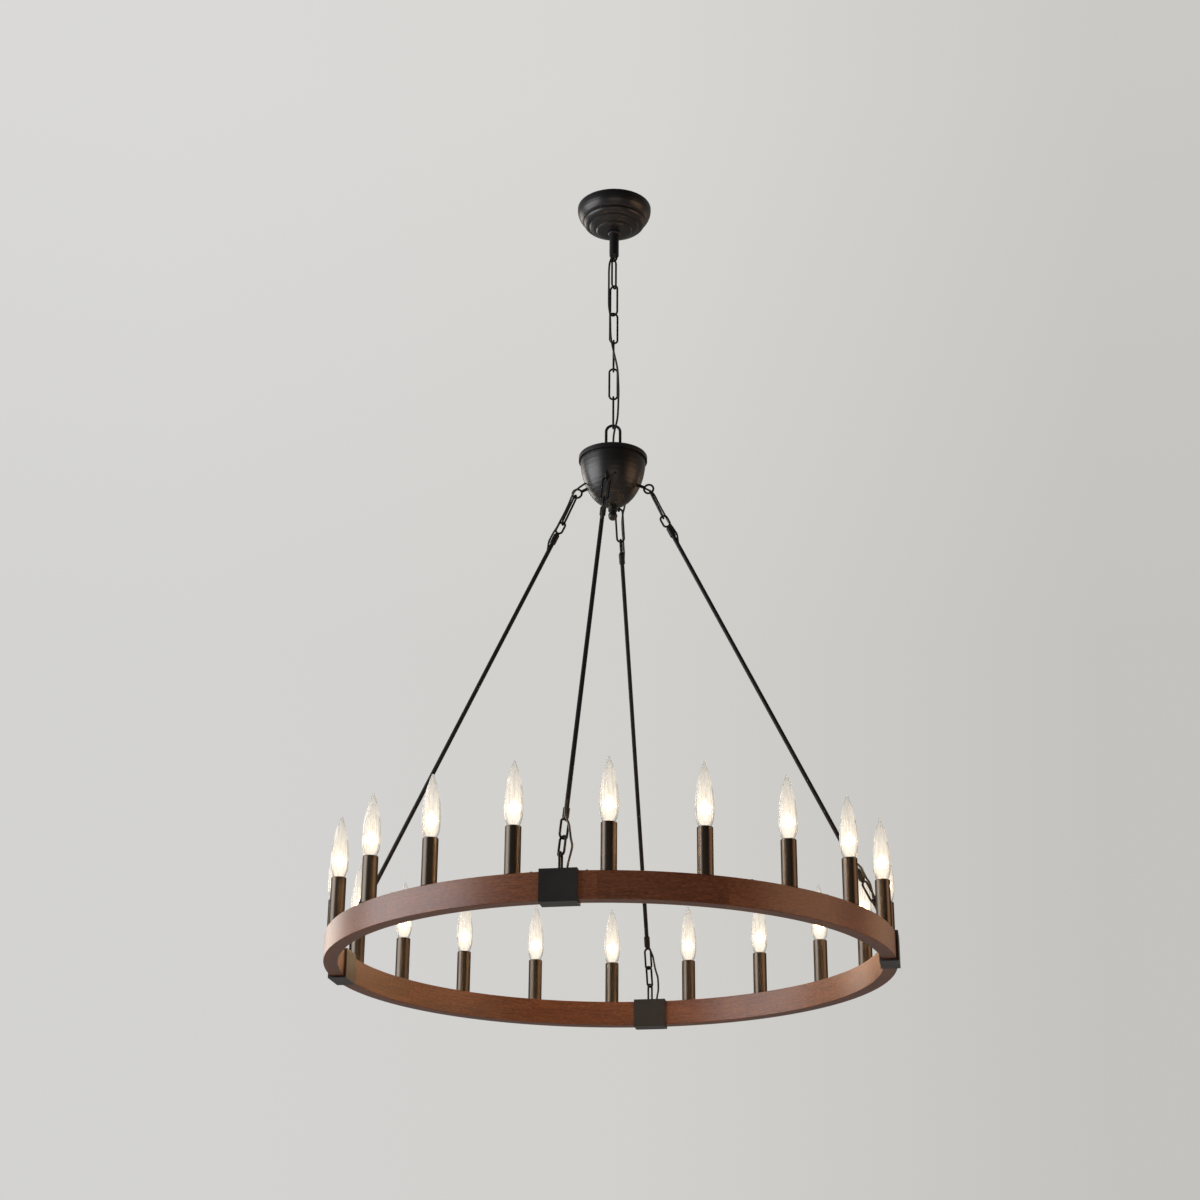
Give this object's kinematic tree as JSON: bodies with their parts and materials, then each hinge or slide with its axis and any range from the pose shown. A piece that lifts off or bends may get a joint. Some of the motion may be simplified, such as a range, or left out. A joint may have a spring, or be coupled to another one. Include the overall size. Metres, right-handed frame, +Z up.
{
  "type": "wagon wheel chandelier",
  "caption": "Hanging ring chandelier with a wood rim, upright candle lights, straight stays to a bowl hub, and a link chain below a stepped ceiling canopy",
  "frame": {"origin": "middle of the crossbar's top face, in the plane of the ceiling", "axes": "+Z up; +X along the crossbar; the rim's clamps lie on -Y, +X, +Y and -X"},
  "size_m": [1.007, 1.007, 1.5665],
  "materials": {
    "bracket_steel": "zinc plated, dull",
    "ground_green": "green dyed screw",
    "black_metal": "satin black",
    "wire_cap_resin": "moulded",
    "cord_sheath": "black sheath",
    "bush_rubber": "moulded",
    "rim_wood": "stained red brown, satin",
    "strip_wood": "stained red brown, satin",
    "socket_resin": "moulded",
    "socket_brass": "bare",
    "sleeve_bronze": "satin dark bronze",
    "bulb_glass": "clear"
  },
  "bodies": {
    "ceiling_mount": {"crossbar": "bracket_steel", "ground_screw": "ground_green", "threaded_nipple": "bracket_steel", "nipple_nuts": "bracket_steel", "canopy": "black_metal", "collar": "black_metal", "collar_loop": "black_metal", "canopy_wire_caps": "wire_cap_resin"},
    "top_link": {"chain_link_top": "black_metal"},
    "chain": {"chain_links": "black_metal", "feed_cord": "cord_sheath"},
    "low_link": {"chain_link_low": "black_metal"},
    "wheel": {"hub_shackle": "black_metal", "hub_cap": "black_metal", "cord_bush": "bush_rubber", "hub_bowl": "black_metal", "hub_stem": "bracket_steel", "finial": "black_metal", "hub_nuts": "bracket_steel", "hub_eyes": "black_metal", "hub_wire_caps": "wire_cap_resin", "stay_links": "black_metal", "stay_tubes": "black_metal", "stay_ends": "black_metal", "clamp_staples": "black_metal", "stay_leads": "cord_sheath", "rim_segment_a": "rim_wood", "rim_segment_b": "rim_wood", "rim_segment_c": "rim_wood", "rim_segment_d": "rim_wood", "rim_clamps": "black_metal", "groove_strips": "strip_wood", "rim_wiring": "cord_sheath", "rim_screws": "black_metal", "socket_feet": "bracket_steel", "lamp_sockets": "socket_resin", "socket_shells": "socket_brass", "socket_contacts": "socket_brass", "candle_sleeves": "sleeve_bronze"},
    "bulb_01": {"bulb_01": "bulb_glass"},
    "bulb_02": {"bulb_02": "bulb_glass"},
    "bulb_03": {"bulb_03": "bulb_glass"},
    "bulb_04": {"bulb_04": "bulb_glass"},
    "bulb_05": {"bulb_05": "bulb_glass"},
    "bulb_06": {"bulb_06": "bulb_glass"},
    "bulb_07": {"bulb_07": "bulb_glass"},
    "bulb_08": {"bulb_08": "bulb_glass"},
    "bulb_09": {"bulb_09": "bulb_glass"},
    "bulb_10": {"bulb_10": "bulb_glass"},
    "bulb_11": {"bulb_11": "bulb_glass"},
    "bulb_12": {"bulb_12": "bulb_glass"},
    "bulb_13": {"bulb_13": "bulb_glass"},
    "bulb_14": {"bulb_14": "bulb_glass"},
    "bulb_15": {"bulb_15": "bulb_glass"},
    "bulb_16": {"bulb_16": "bulb_glass"},
    "bulb_17": {"bulb_17": "bulb_glass"},
    "bulb_18": {"bulb_18": "bulb_glass"},
    "bulb_19": {"bulb_19": "bulb_glass"},
    "bulb_20": {"bulb_20": "bulb_glass"}
  },
  "joints": [
    {"name": "top_link_swing", "type": "hinge", "parent": "ceiling_mount", "child": "top_link", "pos_m": [0, 0, -0.123], "axis": [0.9397, -0.342, 0], "range_deg": [-20, 20], "deforming": ["feed_cord"]},
    {"name": "chain_swing", "type": "hinge", "parent": "top_link", "child": "chain", "pos_m": [0, 0, -0.18551], "axis": [0.342, 0.9397, 0], "range_deg": [-20, 20], "deforming": ["feed_cord"]},
    {"name": "low_link_swing", "type": "hinge", "parent": "chain", "child": "low_link", "pos_m": [0, 0, -0.43554], "axis": [0.9848, 0.1736, 0], "range_deg": [-12, 12], "deforming": ["feed_cord"]},
    {"name": "wheel_swing", "type": "hinge", "parent": "low_link", "child": "wheel", "pos_m": [0, 0, -0.49805], "axis": [-0.1736, 0.9848, 0], "range_deg": [-12, 12], "deforming": ["feed_cord"]},
    {"name": "bulb_01_lift", "type": "slide", "parent": "wheel", "child": "bulb_01", "axis": [0, 0, 1], "range_m": [0, 0.024]},
    {"name": "bulb_02_lift", "type": "slide", "parent": "wheel", "child": "bulb_02", "axis": [0, 0, 1], "range_m": [0, 0.024]},
    {"name": "bulb_03_lift", "type": "slide", "parent": "wheel", "child": "bulb_03", "axis": [0, 0, 1], "range_m": [0, 0.024]},
    {"name": "bulb_04_lift", "type": "slide", "parent": "wheel", "child": "bulb_04", "axis": [0, 0, 1], "range_m": [0, 0.024]},
    {"name": "bulb_05_lift", "type": "slide", "parent": "wheel", "child": "bulb_05", "axis": [0, 0, 1], "range_m": [0, 0.024]},
    {"name": "bulb_06_lift", "type": "slide", "parent": "wheel", "child": "bulb_06", "axis": [0, 0, 1], "range_m": [0, 0.024]},
    {"name": "bulb_07_lift", "type": "slide", "parent": "wheel", "child": "bulb_07", "axis": [0, 0, 1], "range_m": [0, 0.024]},
    {"name": "bulb_08_lift", "type": "slide", "parent": "wheel", "child": "bulb_08", "axis": [0, 0, 1], "range_m": [0, 0.024]},
    {"name": "bulb_09_lift", "type": "slide", "parent": "wheel", "child": "bulb_09", "axis": [0, 0, 1], "range_m": [0, 0.024]},
    {"name": "bulb_10_lift", "type": "slide", "parent": "wheel", "child": "bulb_10", "axis": [0, 0, 1], "range_m": [0, 0.024]},
    {"name": "bulb_11_lift", "type": "slide", "parent": "wheel", "child": "bulb_11", "axis": [0, 0, 1], "range_m": [0, 0.024]},
    {"name": "bulb_12_lift", "type": "slide", "parent": "wheel", "child": "bulb_12", "axis": [0, 0, 1], "range_m": [0, 0.024]},
    {"name": "bulb_13_lift", "type": "slide", "parent": "wheel", "child": "bulb_13", "axis": [0, 0, 1], "range_m": [0, 0.024]},
    {"name": "bulb_14_lift", "type": "slide", "parent": "wheel", "child": "bulb_14", "axis": [0, 0, 1], "range_m": [0, 0.024]},
    {"name": "bulb_15_lift", "type": "slide", "parent": "wheel", "child": "bulb_15", "axis": [0, 0, 1], "range_m": [0, 0.024]},
    {"name": "bulb_16_lift", "type": "slide", "parent": "wheel", "child": "bulb_16", "axis": [0, 0, 1], "range_m": [0, 0.024]},
    {"name": "bulb_17_lift", "type": "slide", "parent": "wheel", "child": "bulb_17", "axis": [0, 0, 1], "range_m": [0, 0.024]},
    {"name": "bulb_18_lift", "type": "slide", "parent": "wheel", "child": "bulb_18", "axis": [0, 0, 1], "range_m": [0, 0.024]},
    {"name": "bulb_19_lift", "type": "slide", "parent": "wheel", "child": "bulb_19", "axis": [0, 0, 1], "range_m": [0, 0.024]},
    {"name": "bulb_20_lift", "type": "slide", "parent": "wheel", "child": "bulb_20", "axis": [0, 0, 1], "range_m": [0, 0.024]}
  ]
}
